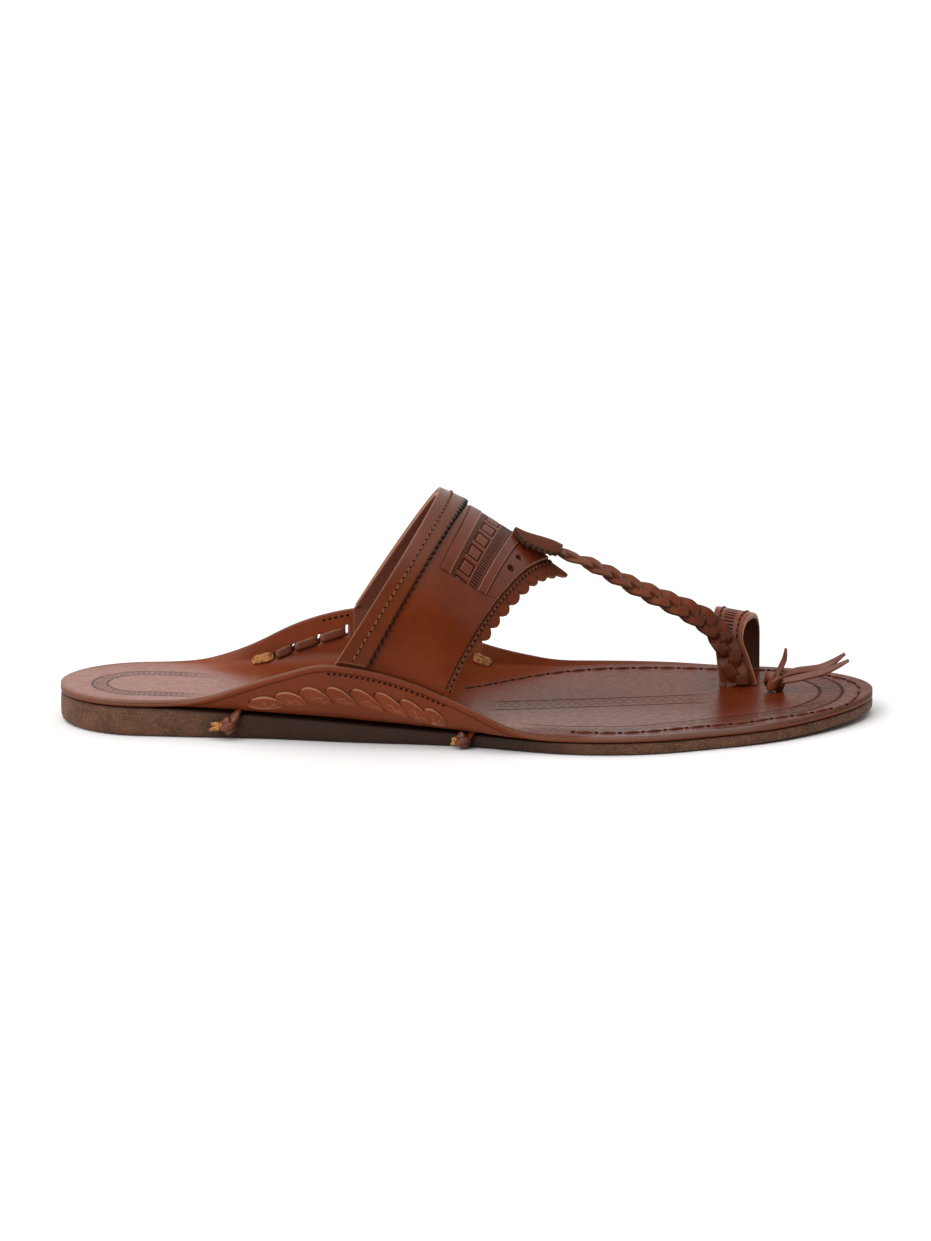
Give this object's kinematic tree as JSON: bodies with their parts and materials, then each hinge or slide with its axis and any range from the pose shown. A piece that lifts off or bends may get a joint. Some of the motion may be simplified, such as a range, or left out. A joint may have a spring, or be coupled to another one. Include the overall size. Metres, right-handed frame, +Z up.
{
  "type": "kolhapuri sandal",
  "caption": "Flat leather sandal with an instep strap held between two bent side ears, a plaited cord to a toe loop, and a layered leather sole.",
  "frame": {"origin": "middle of the object's box in plan, on the floor", "axes": "+X toward the toe, +Y toward the inner side of the right foot, +Z up"},
  "size_m": [0.288, 0.1156, 0.0834],
  "materials": {
    "strap_leather": "smooth dyed leather, satin",
    "trim_leather": "smooth dyed leather with pinked edges",
    "sole_leather": "dense sole leather, dull edge",
    "thong_leather": "cut leather thong"
  },
  "bodies": {
    "root": {"outsole": "sole_leather", "insole": "strap_leather", "instep_strap": "strap_leather", "collar_strip": "strap_leather", "scalloped_trim": "trim_leather", "braid_tab": "trim_leather", "braid": "thong_leather", "toe_loop": "strap_leather", "tie_knot": "thong_leather", "lacing_lateral": "thong_leather", "lacing_medial": "thong_leather", "inner_thong_lateral": "thong_leather", "inner_thong_medial": "thong_leather", "sole_knot_lateral_heel": "thong_leather", "sole_knot_lateral_waist": "thong_leather", "sole_knot_medial_heel": "thong_leather", "sole_knot_medial_waist": "thong_leather"}
  },
  "joints": []
}
